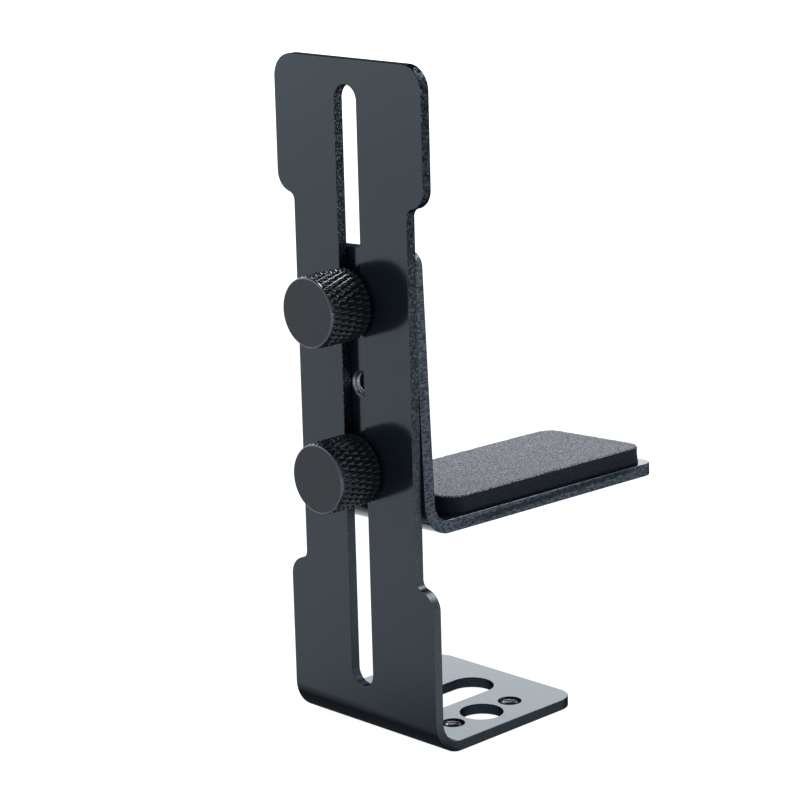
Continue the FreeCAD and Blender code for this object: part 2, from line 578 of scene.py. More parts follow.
@dataclass(frozen=True)
class BareThread(Finish):
    """Steel that the tap has cut through the coat, stained in blotches."""

    name: str = "bare_thread"
    colour: Colour = (0.68, 0.69, 0.72)
    roughness: float = 0.16
    spread: float = 0.2
    depth: float = 0.002
    stain_grain: float = 0.35
    stain: Pair = (0.4, 0.65)
    stain_light: float = 0.55

    def sockets(self, g: Graph) -> dict[str, Input]:
        """Works out the shader's inputs.

        Args:
            g: the material's graph.

        Returns:
            The inputs by name.
        """
        stain = g.noise(self.stain_grain, Wave.FINE)
        clean = g.ramp(stain, (self.stain[0], 0.0), (self.stain[1], 1.0))
        return {
            "Base Color": g.blend(clean, scaled(self.colour, self.stain_light), self.colour),
            "Metallic": 1.0,
            "Roughness": self.roughness + self.spread * stain,
            "Normal": g.bump(stain, self.depth),
        }


@dataclass(frozen=True)
class PaleFloor(Finish):
    """Matt pale floor, lit a little from below so that shadows on it stay faint.

    Its glow grows to far_glow times as much with the distance in metres, by the
    pairs of glow_rise.
    """

    name: str = "pale_floor"
    colour: Colour = (0.12, 0.122, 0.125)
    glow: Colour = (0.955, 0.96, 0.965)
    far_glow: float = 1.6
    glow_rise: tuple[Pair, ...] = ((0.22, 0.0), (0.50, 0.28), (0.80, 1.0))
    cloud_grain: float = 40.0
    cloud_light: float = 1.02
    roughness: float = 0.9
    gloss: float = 0.1

    def sockets(self, g: Graph) -> dict[str, Input]:
        """Works out the shader's inputs.

        Args:
            g: the material's graph.

        Returns:
            The inputs by name.
        """
        away = g.value("ShaderNodeVectorMath", "Value", {"operation": "LENGTH"}, {0: g.place()})
        far = g.ramp(away, *self.glow_rise)
        cloud = g.noise(self.cloud_grain)
        return {
            "Base Color": g.blend(cloud, self.colour, scaled(self.colour, self.cloud_light)),
            "Roughness": self.roughness,
            "Specular IOR Level": self.gloss,
            "Emission Color": g.blend(far, scaled(self.glow, 1 / self.far_glow), self.glow),
            "Emission Strength": self.far_glow,
        }


@dataclass(frozen=True)
class FloorShade(Finish):
    """The dimness of a floor close to what stands on it, fading outwards.

    Places are in metres. It is dim round its middle by the pairs of fade, which
    are shares of its reach, and where both near and side are passed: each is a
    coordinate and the distance over which the dimness begins there.
    """

    name: str = "floor_shade"
    middle: Place = (0.016, -0.021, 0.0)
    reach: float = 0.100
    fade: tuple[Pair, ...] = ((0.0, 0.76), (0.15, 0.52), (0.30, 0.28), (0.45, 0.12), (0.9, 0.0))
    near: Pair = (-0.027, 0.008)
    side: Pair = (-0.042, 0.020)
    deepest: float = 0.97
    colour: Colour = (0.004, 0.004, 0.004)

    def sockets(self, g: Graph) -> dict[str, Input]:
        """Works out the shader's inputs.

        Args:
            g: the material's graph.

        Returns:
            The inputs by name.
        """
        away = g.value("ShaderNodeVectorMath", "Value", {"operation": "DISTANCE"},
                       {0: g.place(), 1: self.middle})
        wide = g.ramp(away * (1 / self.reach), *self.fade)
        close = g.ramp((g.axis(1) - self.near[0]) * (1 / self.near[1]), (0.0, 0.0), (1.0, self.deepest))
        beside = g.ramp((g.axis(0) - self.side[0]) * (1 / self.side[1]), (0.0, 0.0), (1.0, 1.0))
        return {
            "Base Color": g.blend(wide, (0.0, 0.0, 0.0), self.colour),
            "Roughness": 1.0,
            "Specular IOR Level": 0.0,
            "Alpha": g.math("MAXIMUM", wide, close * beside),
        }


# Meshes


class Coat(Enum):
    """Number of a sheet's finish."""

    FACE = 0
    EDGE = 1
    SLOT = 2
    HOLE = 3


class Turned(Enum):
    """Number of a thumbscrew's finish."""

    KNURL = 0
    FACE = 1
    THREAD = 2
    RIM = 3


def add_object(name: str, data: bpy.types.ID) -> bpy.types.Object:
    """Makes an object and links it to the scene.

    Args:
        name: its name.
        data: its mesh, light or camera.

    Returns:
        The object.
    """
    made = bpy.data.objects.new(name, data)
    bpy.context.scene.collection.objects.link(made)
    return made


def flat_square(name: str, near: Place, far: Place, finish: bpy.types.Material) -> bpy.types.Object:
    """Makes a level rectangle.

    Args:
        name: its name.
        near: the corner with its smallest coordinates, in metres.
        far: the opposite corner.
        finish: its material.

    Returns:
        The object.
    """
    mesh = bpy.data.meshes.new(name)
    corners = [near, (far[0], near[1], near[2]), far, (near[0], far[1], near[2])]
    mesh.from_pydata(corners, [], [(0, 1, 2, 3)])
    mesh.materials.append(finish)
    return add_object(name, mesh)


def on_circle(radius: float, angle: float, y: float) -> Vector:
    """A place round the Y axis, at an angle in radians."""
    return Vector((radius * math.cos(angle), y, radius * math.sin(angle)))


class Skin:
    """Points with shading directions and the faces between them, in millimetres."""

    def __init__(self) -> None:
        """Starts with nothing."""
        self.points: list[Vector] = []
        self.normals: list[Vector | None] = []
        self.faces: list[Sequence[int]] = []
        self.coats: list[int] = []

    def point(self, place: Vector, normal: Vector | None = None) -> int:
        """Adds a point.

        Args:
            place: where it is.
            normal: its shading direction, or None for that of its faces.

        Returns:
            The point's number.
        """
        self.points.append(place)
        self.normals.append(normal)
        return len(self.points) - 1

    def face(self, corners: Sequence[int], coat: int = 0) -> None:
        """Adds a face with one of the piece's finishes, by number."""
        self.faces.append(corners)
        self.coats.append(coat)

    def band(self, near: Sequence[int], far: Sequence[int], coat: int = 0) -> None:
        """Joins two closed rows of as many points by a band of faces.

        Args:
            near: the first row's points, by number.
            far: the second row's points.
            coat: number of the faces' finish.
        """
        for here in range(len(near)):
            after = (here + 1) % len(near)
            self.face((near[here], near[after], far[after], far[here]), coat)

    def cap(self, rim: Sequence[int], middle: Vector, coat: int = 0) -> None:
        """Closes a row of points by a fan of faces.

        Args:
            rim: the row's points, by number.
            middle: where the faces meet.
            coat: number of the faces' finish.
        """
        centre = self.point(middle)
        for here in range(len(rim)):
            self.face((rim[here], rim[(here + 1) % len(rim)], centre), coat)

    def build(self, name: str, finishes: Sequence[bpy.types.Material],
              move: Matrix = Matrix.Identity(4)) -> bpy.types.Object:
        """Makes the mesh object.

        Args:
            name: the object's name.
            finishes: materials, by the numbers that the faces use.
            move: takes the points to the bracket's frame.

        Returns:
            The object, linked to the scene.
        """
        mesh = bpy.data.meshes.new(name)
        mesh.from_pydata([(move @ point) * MM for point in self.points], [], self.faces)
        for finish in finishes:
            mesh.materials.append(finish)
        for polygon, coat in zip(mesh.polygons, self.coats, strict=True):
            polygon.material_index = coat
            polygon.use_smooth = True
        outward = bmesh.new()
        outward.from_mesh(mesh)
        bmesh.ops.recalc_face_normals(outward, faces=outward.faces)
        outward.to_mesh(mesh)
        outward.free()
        turn = move.to_3x3()
        normals = [
            vertex.normal if normal is None else (turn @ normal).normalized()
            for vertex, normal in zip(mesh.vertices, self.normals, strict=True)
        ]
        mesh.normals_split_custom_set_from_vertices(normals)
        return add_object(name, mesh)


@dataclass
class Loop:
    """A closed line on a flat sheet, with the directions that point out of the metal."""

    spots: list[Vector] = field(default_factory=list)
    outward: list[Vector] = field(default_factory=list)
    coat: Coat = Coat.EDGE

    def add(self, spot: Vector, outward: Vector) -> None:
        """Adds a point, unless it repeats the last one.

        Args:
            spot: where it is.
            outward: the direction out of the metal there.
        """
        if not self.spots or (self.spots[-1] - spot).length > SAME:
            self.spots.append(spot)
            self.outward.append(outward)

    def close(self) -> "Loop":
        """Drops a last point that repeats the first.

        Returns:
            The loop itself.
        """
        if (self.spots[-1] - self.spots[0]).length <= SAME:
            self.spots.pop()
            self.outward.pop()
        return self

    def split(self, levels: Sequence[float]) -> "Loop":
        """The loop with points added where it crosses levels of its second coordinate.

        Args:
            levels: the levels.

        Returns:
            The new loop.
        """
        result = Loop(coat=self.coat)
        for here, spot in enumerate(self.spots):
            after = self.spots[(here + 1) % len(self.spots)]
            result.add(spot, self.outward[here])
            low, high = sorted((spot.y, after.y))
            crossed = [level for level in levels if low + SAME < level < high - SAME]
            for level in sorted(crossed, reverse=after.y < spot.y):
                result.add(spot.lerp(after, (level - spot.y) / (after.y - spot.y)), self.outward[here])
        return result.close()


def rounded(corners: Sequence[tuple[float, float, float]], fineness: float = 7.5) -> Loop:
    """Closed line with round corners, with the metal on its left.

    Args:
        corners: the corners' two coordinates and radii.
        fineness: largest step round a corner, in degrees.

    Returns:
        The loop.
    """
    loop = Loop()
    spots = [Vector(corner[:2]) for corner in corners]
    for here, (*_, radius) in enumerate(corners):
        spot = spots[here]
        along = (spot - spots[here - 1]).normalized()
        onward = (spots[(here + 1) % len(spots)] - spot).normalized()
        turn = math.atan2(along.cross(onward), along.dot(onward))
        side = math.copysign(radius, turn)
        start = spot - along * radius * math.tan(abs(turn) / 2)
        centre = start + Vector((-along.y, along.x)) * side
        steps = max(1, math.ceil(abs(math.degrees(turn)) / fineness))
        for step in range(steps + 1):
            angle = turn * step / steps
            heading = Matrix.Rotation(angle, 2) @ along
            left = Vector((-heading.y, heading.x))
            loop.add(centre - left * side, -left)
    return loop.close()


def round_hole(x: float, y: float, radius: float) -> Loop:
    """Round hole in a flat sheet, with the metal on the loop's left."""
    return long_hole(x, y, radius, radius, radius)


def long_hole(x: float, y: float, half_x: float, half_y: float, radius: float) -> Loop:
    """Hole with round ends in a flat sheet, with the metal on the loop's left.

    Args:
        x: its middle, across.
        y: its middle, along.
        half_x: half its width.
        half_y: half its length.
        radius: its corner radius.

    Returns:
        The loop.
    """
    return rounded([
        (x - half_x, y - half_y, radius), (x - half_x, y + half_y, radius),
        (x + half_x, y + half_y, radius), (x + half_x, y - half_y, radius),
    ])


@dataclass
class FoldedSheet:
    """A sheet that is cut flat, folded once and coated.

    Its flat pattern has x across and s along. The leg's outer face runs up from
    s = 0, where the bend starts, to negative s, and the shelf lies beyond the
    bend. Depth is counted from the outer face. Threads keep thread_inset times
    the edges' rounding below both faces.
    """

    thickness: float
    inner_radius: float
    droop: float
    edge_round: float = 0.13
    round_steps: int = 3
    bend_steps: int = 24
    thread_inset: float = 0.6

    @property
    def outer_radius(self) -> float:
        """Radius of the bend's outer face."""
        return self.inner_radius + self.thickness

    @property
    def turn(self) -> float:
        """Angle of the bend, in radians."""
        return math.radians(90 - self.droop)

    @property
    def bend_end(self) -> float:
        """Where the bend ends, along the flat pattern."""
        return self.outer_radius * self.turn

    @property
    def inset(self) -> float:
        """Depth of a thread's front mouth under the outer face."""
        return self.edge_round * self.thread_inset

    @property
    def bored(self) -> float:
        """Depth of metal that a thread has."""
        return self.thickness - 2 * self.inset

    def on_leg(self, height: float) -> float:
        """Place along the flat pattern of a height above the bend's lowest line."""
        return self.outer_radius - height

    def on_shelf(self, reach: float) -> float:
        """Finds a place of the shelf along the flat pattern.

        Args:
            reach: its distance from the leg's outer face.

        Returns:
            The place.
        """
        radius = self.outer_radius
        straight = (reach - radius + radius * math.cos(self.turn)) / math.cos(math.radians(self.droop))
        return self.bend_end + straight

    def folded(self, across: float, along: float, depth: float, normal: Vector) -> tuple[Vector, Vector]:
        """Takes a point of the flat sheet to its place after folding.

        Args:
            across: the point's x.
            along: the point's s.
            depth: its depth under the outer face.
            normal: its shading direction as x, s and depth.

        Returns:
            The place and shading direction after folding.
        """
        angle = min(max(along / self.outer_radius, 0.0), self.turn)
        heading = Vector((0, math.sin(angle), -math.cos(angle)))
        inward = Vector((0, math.cos(angle), math.sin(angle)))
        straight = along if along < 0 else max(along - self.bend_end, 0.0)
        middle = Vector((across, self.outer_radius, self.outer_radius))
        place = middle - inward * (self.outer_radius - depth) + heading * straight
        return place, Vector((normal.x, 0, 0)) + heading * normal.y + inward * normal.z

    def edge_rows(self) -> list[tuple[float, float, float, float]]:
        """The section of the rounded edge.

        Returns:
            Rows of inset, depth, and share of the normal outwards and in depth.
        """
        rows = []
        for step in range(self.round_steps + 1):
            angle = math.pi / 2 * step / self.round_steps
            out, flat = math.sin(angle), math.cos(angle)
            rows.append((self.edge_round * (1 - out), self.edge_round * (1 - flat), out, -flat))
        inner = [(inset, self.thickness - depth, out, -flat) for inset, depth, out, flat in reversed(rows)]
        return rows + inner

    def skin(self, outline: Loop, holes: Sequence[Loop]) -> Skin:
        """Builds the folded sheet.

        Args:
            outline: the flat pattern's outline, whose sides are straight along the bend.
            holes: holes on the leg or shelf.

        Returns:
            The sheet's skin.
        """
        skin = Skin()
        levels = [self.bend_end * step / self.bend_steps for step in range(self.bend_steps + 1)]
        loops = [outline.split(levels), *holes]
        rows = self.edge_rows()
        numbers: list[list[list[int]]] = []
        for loop in loops:
            numbers.append([])
            for inset, depth, out, flat in rows:
                row = []
                for spot, outward in zip(loop.spots, loop.outward, strict=True):
                    normal = Vector((*(outward * out), flat))
                    row.append(skin.point(*self.folded(*(spot - outward * inset), depth, normal)))
                numbers[-1].append(row)
            for level in range(len(rows) - 1):
                coat = loop.coat if 0 < level < len(rows) - 2 else Coat.FACE
                skin.band(numbers[-1][level], numbers[-1][level + 1], coat.value)
        for row in (0, -1):
            self._fill(skin, loops, [loop_rows[row] for loop_rows in numbers], levels)
        return skin

    def _fill(self, skin: Skin, loops: Sequence[Loop], numbers: Sequence[Sequence[int]],
              levels: Sequence[float]) -> None:
        """Fills one face of the sheet: the leg, the shelf and the strips of the bend.

        Args:
            skin: the sheet's skin.
            loops: the outline and the holes.
            numbers: the numbers of their points on this face.
            levels: where the strips meet, along the flat pattern.
        """
        self._patch(skin, loops, numbers, lambda along: along < SAME)
        self._patch(skin, loops, numbers, lambda along: along > levels[-1] - SAME)
        sides = []
        for level in levels:
            row = [(spot.x, number) for spot, number in zip(loops[0].spots, numbers[0], strict=True)
                   if abs(spot.y - level) < SAME]
            sides.append((min(row)[1], max(row)[1]))
        for near, far in zip(sides, sides[1:]):
            skin.face((near[0], near[1], far[1], far[0]))

    @staticmethod
    def _patch(skin: Skin, loops: Sequence[Loop], numbers: Sequence[Sequence[int]],
               keep: Callable[[float], bool]) -> None:
        """Fills a flat part of a face with triangles, and leaves its holes open.

        Args:
            skin: the sheet's skin.
            loops: the outline and the holes.
            numbers: the numbers of their points on this face.
            keep: says by its place along the pattern whether a point is in the part.
        """
        chosen = [
            [(spot, number) for spot, number in zip(loop.spots, row, strict=True) if keep(spot.y)]
            for loop, row in zip(loops, numbers, strict=True)
        ]
        chosen = [loop for loop in chosen if loop]
        spots = [spot for loop in chosen for spot, _ in loop]
        flat = [number for loop in chosen for _, number in loop]
        owner = [place for place, loop in enumerate(chosen) for _ in loop]
        sides, start = [], 0
        for loop in chosen:
            sides += [(start + k, start + (k + 1) % len(loop)) for k in range(len(loop))]
            start += len(loop)
        _, _, triangles, sources, _, _ = delaunay_2d_cdt(spots, sides, [], 1, WELD)
        for triangle in triangles:
            corners = [sources[corner][0] for corner in triangle]
            owners = {owner[corner] for corner in corners}
            if owners == {0} or len(owners) > 1:
                skin.face([flat[corner] for corner in corners])


@dataclass
class TappedHole:
    """Thread cut in a hole with a chamfer at its front mouth: a closed ring that lines the hole.

    Its own frame has the hole's axis along +Y, from y = 0 to y = depth. Between
    two shares of the depth the thread shows bare steel, and elsewhere it takes a
    dark finish: the coat at a mouth and painted shade deeper in the hole. Its
    flanks take up the share 1 / steepness of each turn.
    """

    major_radius: float
    pitch: float
    depth: float
    shine: Pair
    chamfer: float = 0.3
    fullness: float = 0.54
    steepness: float = 1.35
    around: int = 96
    per_pitch: int = 12

    @property
    def mouth_radius(self) -> float:
        """Radius of the chamfer at the mouth."""
        return self.major_radius + self.chamfer

    @property
    def thread_depth(self) -> float:
        """Depth of the thread."""
        return self.fullness * self.pitch

    def radius(self, angle: float, y: float) -> float:
        """Radius of the threaded wall.

        Args:
            angle: angle round the axis, in turns.
            y: place along the axis.

        Returns:
            The radius.
        """
        phase = (y / self.pitch + angle) % 1.0
        crest = min(1.0, self.steepness * abs(2 * phase - 1))
        return max(self.major_radius - self.thread_depth * (1 - crest), self.mouth_radius - y)

    def build(self, name: str, finishes: Sequence[bpy.types.Material], move: Matrix) -> bpy.types.Object:
        """Makes the thread's surface.

        Args:
            name: the object's name.
            finishes: materials of its bare steel and of its dark part, the coat at a mouth and painted shade
                deeper in.
            move: takes the hole's frame to the bracket's.

        Returns:
            The object.
        """
        skin = Skin()
        steps = math.ceil(self.depth / self.pitch * self.per_pitch) + 2
        rows = []
        for step in range(steps + 1):
            y = self.depth * step / steps
            rows.append([])
            for place in range(self.around):
                angle = place / self.around
                rows[-1].append(skin.point(on_circle(self.radius(angle, y), TURN * angle, y)))
        rows.append([skin.point(on_circle(self.mouth_radius, TURN * place / self.around, self.depth))
                     for place in range(self.around)])
        for number, (near, far) in enumerate(zip(rows, rows[1:] + rows[:1])):
            # Bands outside the shine take the dark finish: the coat at a mouth, painted shade deeper in the
            # hole.
            skin.band(near, far, 0 if self.shine[0] <= number / steps < self.shine[1] else 1)
        return skin.build(name, finishes, move)


# The bracket's pieces


@dataclass(frozen=True)
class Seat:
    """Where the screws clamp the arm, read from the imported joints."""

    upper: Vector
    lower: Vector

    @classmethod
    def from_joints(cls, joints: Sequence[dict[str, Any]]) -> "Seat":
        """Finds the two screws' places.

        Args:
            joints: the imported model's joints.

        Returns:
            The seat.
        """
        places = {joint["child"]: Vector(joint["pos_m"]) / MM for joint in joints if "pos_m" in joint}
        return cls(places[Body.UPPER_SCREW.value], places[Body.LOWER_SCREW.value])

    @property
    def spacing(self) -> float:
        """Distance between the two screws."""
        return (self.upper - self.lower).length

    @property
    def lean(self) -> float:
        """Angle by which the arm leans to the left, in radians."""
        across = self.lower - self.upper
        return math.atan2(across.x, -across.z)

    def on_arm(self, leg_y: float) -> Matrix:
        """Takes the arm's own frame, whose origin is its middle hole, to the bracket's."""
        middle = (self.upper + self.lower) / 2
        return Matrix.Translation((middle.x, leg_y, middle.z)) @ Matrix.Rotation(-self.lean, 4, "Y")


@dataclass
class Upright:
    """Slotted plate and foot."""

    front_y: float
    sheet: FoldedSheet = field(default_factory=lambda: FoldedSheet(1.65, 3.65, 0.0))
    height: float = 102.2
    foot_depth: float = 31.0
    half_end: float = 15.1
    half_strip: float = 11.7
    crest: float = 17.45
    base: float = 22.6
    corner: float = 3.0
    top_corner: float = 3.6
    shoulder: float = 1.3
    foot_corner: float = 3.4
    slot_low: float = 7.9
    slot_high: float = 98.5
    half_slot: float = 2.2
    slot_x: float = -0.24
    foot_slot: Pair = (9.0, 26.6)
    half_foot_slot: float = 3.5
    row_x: float = 9.2
    row_y: float = 15.8
    row_reach: float = 6.25
    clearance_radius: float = 3.3
    tap_radius: float = 1.5
    tap_pitch: float = 0.5
    tap_mouth: float = 0.27
    shine: Pair = (0.46, 0.85)

    def outline(self) -> Loop:
        """The flat pattern's outline: a wide base and crest joined by a narrower strip.

        Returns:
            The outline.
        """
        reach = self.corner + self.shoulder
        turn = math.acos(1 - (self.half_end - self.half_strip) / reach)
        share = math.tan(turn / 2)
        wide, narrow = self.corner * share, reach * math.sin(turn) - self.shoulder * share
        top, foot_end = self.sheet.on_leg(self.height), self.sheet.on_shelf(self.foot_depth)
        crest_s, base_s = self.sheet.on_leg(self.height - self.crest), self.sheet.on_leg(self.base)
        right = [
            (self.half_end, top, self.top_corner),
            (self.half_end, crest_s + wide, self.corner),
            (self.half_strip, crest_s + narrow, self.shoulder),
            (self.half_strip, base_s - narrow, self.shoulder),
            (self.half_end, base_s - wide, self.corner),
            (self.half_end, foot_end, self.foot_corner),
        ]
        return rounded(right + [(-x, s, r) for x, s, r in reversed(right)])

    def taps(self) -> list[float]:
        """Places of the two tapped holes along the flat pattern."""
        return [self.sheet.on_shelf(self.row_y + side * self.row_reach) for side in (-1, 1)]

    def holes(self) -> list[Loop]:
        """The plate's slot, and the foot's slot and three holes.

        Returns:
            Their outlines, in that order.
        """
        sheet = self.sheet
        high, low = sheet.on_leg(self.slot_high), sheet.on_leg(self.slot_low)
        near, far = (sheet.on_shelf(reach) for reach in self.foot_slot)
        slot = long_hole(self.slot_x, (high + low) / 2, self.half_slot, (low - high) / 2, self.half_slot)
        in_foot = [
            long_hole(0, (near + far) / 2, self.half_foot_slot, (far - near) / 2, self.half_foot_slot),
            round_hole(self.row_x, sheet.on_shelf(self.row_y), self.clearance_radius),
            *(round_hole(self.row_x, along, self.tap_radius + self.tap_mouth) for along in self.taps()),
        ]
        slot.coat = Coat.SLOT
        for hole in in_foot:
            hole.coat = Coat.HOLE
        return [slot, *in_foot]

    def build(self, finishes: dict[str, bpy.types.Material]) -> list[bpy.types.Object]:
        """Makes the plate and its threads.

        Args:
            finishes: materials by name.

        Returns:
            The pieces.
        """
        place = Matrix.Translation((0, self.front_y, 0))
        coats = [finishes[name] for name in ("coat", "upright_edge", "slot_edge", "hole_coat_and_shade")]
        plate = self.sheet.skin(self.outline(), self.holes()).build("coated_upright", coats, place)
        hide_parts("upright_bracket")
        pieces = [plate]
        # Outside their shine band the foot's threads go dark: coat at the top mouth, painted shade deeper in.
        metals = [finishes["thread"], finishes["hole_coat_and_shade"]]
        thread = TappedHole(self.tap_radius, self.tap_pitch, self.sheet.bored, self.shine)
        for number, along in enumerate(self.taps()):
            at, _ = self.sheet.folded(self.row_x, along, self.sheet.inset, Vector())
            move = place @ Matrix.Translation(at) @ Matrix.Rotation(math.pi / 2, 4, "X")
            pieces.append(thread.build(f"foot_thread_{number + 1}", metals, move))
        return pieces


@dataclass
class Arm:
    """Leg and shelf, with three tapped holes in the leg."""

    seat: Seat
    leg_y: float
    sheet: FoldedSheet = field(default_factory=lambda: FoldedSheet(2.0, 2.8, 1.3))
    half_width: float = 11.95
    corner: float = 2.2
    leg_above_screw: float = 8.1
    shelf_below_screw: float = 9.55
    reach: float = 51.1
    bore_radius: float = 1.75
    thread_radius: float = 1.7
    tap_mouth: float = 0.22
    thread_pitch: float = 25.4 / 32
    thread_fullness: float = 0.68
    shine: Pair = (0.0, 0.4)

    @property
    def base(self) -> float:
        """Height of the bend's lowest line in the arm's own frame."""
        return -self.seat.spacing / 2 - self.shelf_below_screw

    def place(self) -> Matrix:
        """Takes the folded sheet's frame to the bracket's."""
        return self.seat.on_arm(self.leg_y) @ Matrix.Translation((0, 0, self.base))

    def hole_at(self, row: int) -> float:
        """Place along the flat pattern of the upper hole (row 1), middle one (0) or lower one (-1)."""
        return self.sheet.on_leg(row * self.seat.spacing / 2 - self.base)

    def build(self, finishes: dict[str, bpy.types.Material]) -> list[bpy.types.Object]:
        """Makes the sheet and the thread of its free middle hole.

        Args:
            finishes: materials by name.

        Returns:
            The pieces.
        """
        top = self.sheet.on_leg(self.seat.spacing / 2 + self.leg_above_screw - self.base)
        end = self.sheet.on_shelf(self.reach)
        wide = self.half_width
        outline = rounded([(wide, top, self.corner), (wide, end, self.corner),
                           (-wide, end, self.corner), (-wide, top, self.corner)])
        holes = [round_hole(0, self.hole_at(row), self.bore_radius + self.tap_mouth) for row in (-1, 0, 1)]
        coats = [finishes["coat"], finishes["arm_edge"]]
        sheet = self.sheet.skin(outline, holes).build("coated_arm", coats, self.place())
        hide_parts("support_arm")
        at, _ = self.sheet.folded(0, self.hole_at(0), self.sheet.inset, Vector())
        thread = TappedHole(self.thread_radius, self.thread_pitch, self.sheet.bored, self.shine,
                            fullness=self.thread_fullness)
        # The arm's thread is a darker copy of the bare steel and goes dark behind its front part: painted
        # shade inside the hole.
        metals = [finishes["thread_in_painted_shade"], finishes["hole_coat_and_shade"]]
        ring = thread.build("arm_thread", metals, self.place() @ Matrix.Translation(at))
        return [sheet, ring]


@dataclass
class Pad:
    """Foam pad stuck on the shelf, cut with a knife and a little crushed at its rim.

    Its lumps are pairs of how many there are to a millimetre and their share of
    the unevenness. The rings of its top are given by their share of its size.
    """

    arm: Arm
    thickness: float = 2.8
    right_margin: float = 0.95
    left_margin: float = 2.5
    bend_margin: float = 1.7
    end_margin: float = 0.8
    corner: float = 2.8
    rim: float = 0.35
    step: float = 0.35
    unevenness: float = 0.05
    waist: float = 0.08
    end_cut: float = 0.3
    end_lean: float = 0.2
    lumps: tuple[Pair, ...] = ((0.9, 1.0), (3.1, 0.6))
    side_rows: int = 8
    rim_rows: int = 4
    top_rings: tuple[float, ...] = (0.97, 0.92, 0.8, 0.6, 0.35, 0.12)

    def place(self) -> Matrix:
        """Takes the pad's frame, which lies on the shelf round the pad's middle, to the bracket's.

        Returns:
            The move.
        """
        sheet, slope = self.arm.sheet, math.radians(self.arm.sheet.droop)
        middle_y = (sheet.outer_radius + self.bend_margin + self.arm.reach - self.end_margin) / 2
        middle, _ = sheet.folded(0, sheet.on_shelf(middle_y), sheet.thickness, Vector())
        across = (self.left_margin - self.right_margin) / 2
        on_shelf = Matrix.Translation((across, middle_y, middle.z)) @ Matrix.Rotation(-slope, 4, "X")
        return self.arm.place() @ on_shelf

    def plan(self) -> Loop:
        """The pad's outline, with points close enough to show its unevenness.

        Returns:
            The outline.
        """
        half_x = self.arm.half_width - (self.left_margin + self.right_margin) / 2
        half_y = (self.arm.reach - self.end_margin - self.arm.sheet.outer_radius - self.bend_margin) / 2
        coarse = rounded([(half_x, -half_y, self.corner), (half_x, half_y, self.corner),
                          (-half_x, half_y, self.corner), (-half_x, -half_y, self.corner)])
        fine = Loop()
        for here, spot in enumerate(coarse.spots):
            after = coarse.spots[(here + 1) % len(coarse.spots)]
            parts = max(1, round((after - spot).length / self.step))
            for part in range(parts):
                fine.add(spot.lerp(after, part / parts), coarse.outward[here])
        return fine.close()

    def ring(self, skin: Skin, plan: Loop, height: float, inset: float, share: float = 1.0) -> list[int]:
        """Adds one ring of the pad.

        Args:
            skin: the pad's skin.
            plan: the pad's outline.
            height: the ring's height over the shelf.
            inset: how far inside the outline it runs.
            share: its size against the outline's.

        Returns:
            The points' numbers.
        """
        half_length = max(spot.y for spot in plan.spots)
        free = height / self.thickness
        cut = self.end_cut + self.end_lean * free
        numbers = []
        for spot, outward in zip(plan.spots, plan.outward, strict=True):
            flat = (spot - outward * inset) * share
            place = Vector((flat.x, flat.y, height))
            lump = abs(sum(noise.noise(place * often) * self.unevenness * part for often, part in self.lumps))
            place.z -= lump * free
            place.y -= cut * (0.5 + flat.y / (2 * half_length))
            place.xy -= outward * (lump * share * free)
            numbers.append(skin.point(place))
        return numbers

    def build(self, finishes: dict[str, bpy.types.Material]) -> list[bpy.types.Object]:
        """Makes the pad.

        Args:
            finishes: materials by name.

        Returns:
            The pad.
        """
        plan, skin = self.plan(), Skin()
        rows = [self.ring(skin, plan, 0.0, 0.0)]
        for step in range(1, self.side_rows - 1):
            waist = self.waist * math.sin(math.pi * step / self.side_rows)
            rows.append(self.ring(skin, plan, self.thickness * step / self.side_rows, waist))
        for step in range(self.rim_rows + 1):
            angle = math.pi / 2 * step / self.rim_rows
            height = self.thickness - self.rim * (1 - math.sin(angle))
            rows.append(self.ring(skin, plan, height, self.rim * (1 - math.cos(angle))))
        rows += [self.ring(skin, plan, self.thickness, self.rim, share) for share in self.top_rings]
        # The side rows take the far darker foam, which paints the sides' shade.
        for level, (near, far) in enumerate(zip(rows, rows[1:])):
            skin.band(near, far, 1 if level < self.side_rows else 0)
        skin.cap(rows[-1], Vector((0, 0, self.thickness)))
        skin.cap(rows[0], Vector((0, 0, 0)), 1)
        pad = skin.build("foam_on_shelf", [finishes["foam"], finishes["foam_side"]], self.place())
        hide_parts("foam_pad")
        return [pad]


